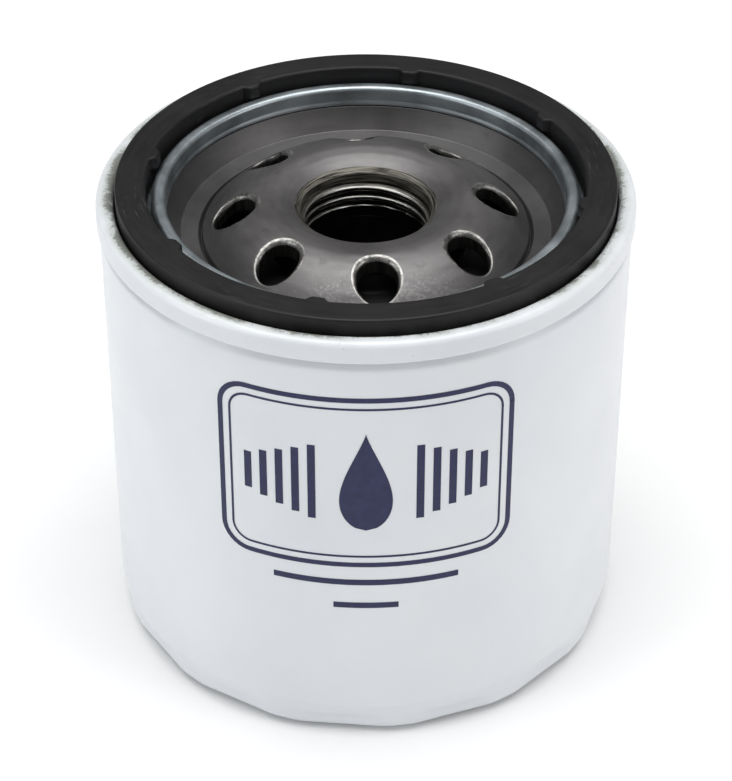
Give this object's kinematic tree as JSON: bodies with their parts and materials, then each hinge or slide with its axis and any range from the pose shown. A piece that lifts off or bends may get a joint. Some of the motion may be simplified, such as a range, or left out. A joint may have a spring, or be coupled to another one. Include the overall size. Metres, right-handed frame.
{
  "type": "oil filter",
  "caption": "Spin-on canister filter for a small engine: a painted can with wrench flats, a ring gasket, and a threaded base plate with inlet holes round its bore.",
  "frame": {"origin": "centre of the closed end, on the plane that it stands on", "axes": "+Z along the can's axis towards the threaded end; -Y is the side with the printed mark"},
  "size_m": [0.0766, 0.0768, 0.0723],
  "materials": {
    "white_paint": "satin baked enamel on drawn steel",
    "zinc_plate": "zinc plated sheet, the seam painted with the can",
    "phosphated_steel": "dark phosphated pressed steel with a rolled thread",
    "gasket_rubber": "moulded black nitrile rubber",
    "valve_rubber": "soft moulded nitrile rubber",
    "sealant": "cured sealant",
    "filter_paper": "resin-treated pleated paper",
    "plated_steel": "tin plated pressed steel",
    "spring_steel": "oiled spring wire"
  },
  "bodies": {
    "housing": {"can_shell": "white_paint", "seaming_lid": "zinc_plate", "base_plate": "phosphated_steel", "gasket": "gasket_rubber", "anti_drain_valve": "valve_rubber", "element_spring": "spring_steel"},
    "element": {"element_top_cap": "plated_steel", "element_bottom_cap": "plated_steel", "top_potting": "sealant", "bottom_potting": "sealant", "pleated_media": "filter_paper", "media_seam_clip": "plated_steel", "centre_tube": "plated_steel", "spring_seat": "plated_steel", "bypass_valve_seat": "plated_steel", "bypass_valve_cage": "plated_steel", "bypass_valve_spring": "spring_steel"},
    "bypass_valve": {"bypass_valve_seal": "gasket_rubber", "bypass_valve_disc": "plated_steel", "bypass_valve_stem": "plated_steel"}
  },
  "joints": [
    {"name": "element_float", "type": "slide", "parent": "housing", "child": "element", "axis": [0, 0, -1], "range_m": [0, 0.0018], "stiffness_N_per_m": 12000, "springref_m": -0.006, "deforming": ["element_spring"]},
    {"name": "bypass_valve_open", "type": "slide", "parent": "element", "child": "bypass_valve", "axis": [0, 0, 1], "range_m": [0, 0.003], "stiffness_N_per_m": 3000, "springref_m": -0.0085, "deforming": ["bypass_valve_spring"]}
  ]
}
